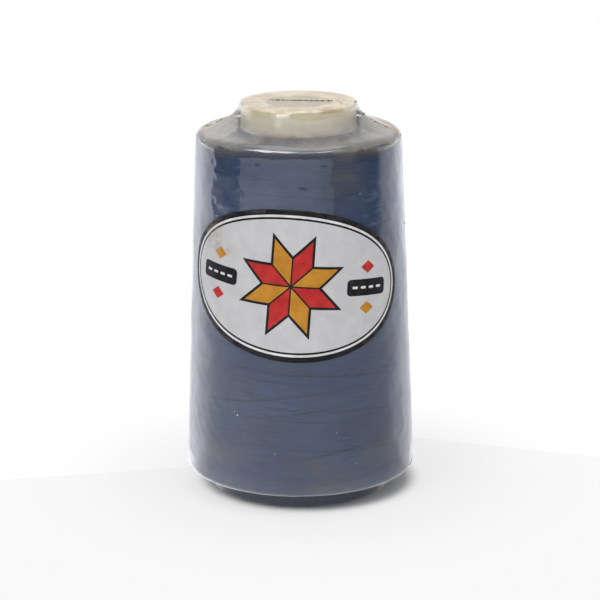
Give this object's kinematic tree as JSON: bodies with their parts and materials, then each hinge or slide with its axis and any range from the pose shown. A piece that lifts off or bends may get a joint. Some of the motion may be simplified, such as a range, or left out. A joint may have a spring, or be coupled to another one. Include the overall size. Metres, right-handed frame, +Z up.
{
  "type": "spool of thread",
  "caption": "Cone of sewing thread: tapered plastic former wound with blue thread, sealed in clear shrink film with an oval label.",
  "frame": {"origin": "on the cone's axis, in the plane that the foot stands on", "axes": "+Z up along the cone's axis towards the nose; the label faces -Y; +X to the right of someone looking at the label"},
  "size_m": [0.0736, 0.0734, 0.1252],
  "materials": {
    "former": "satin ivory moulding",
    "thread": "cross-wound spun polyester, dusty blue",
    "film": "clear glossy film, slightly hazy",
    "weld": "melted film edge, brownish",
    "label": "silver-grey sticker with a black border"
  },
  "bodies": {
    "root": {"cone_former": "former", "thread_package": "thread", "transfer_tail": "thread", "thread_end": "thread", "film_front": "film", "film_back": "film", "film_seam": "weld", "label": "label"}
  },
  "joints": []
}
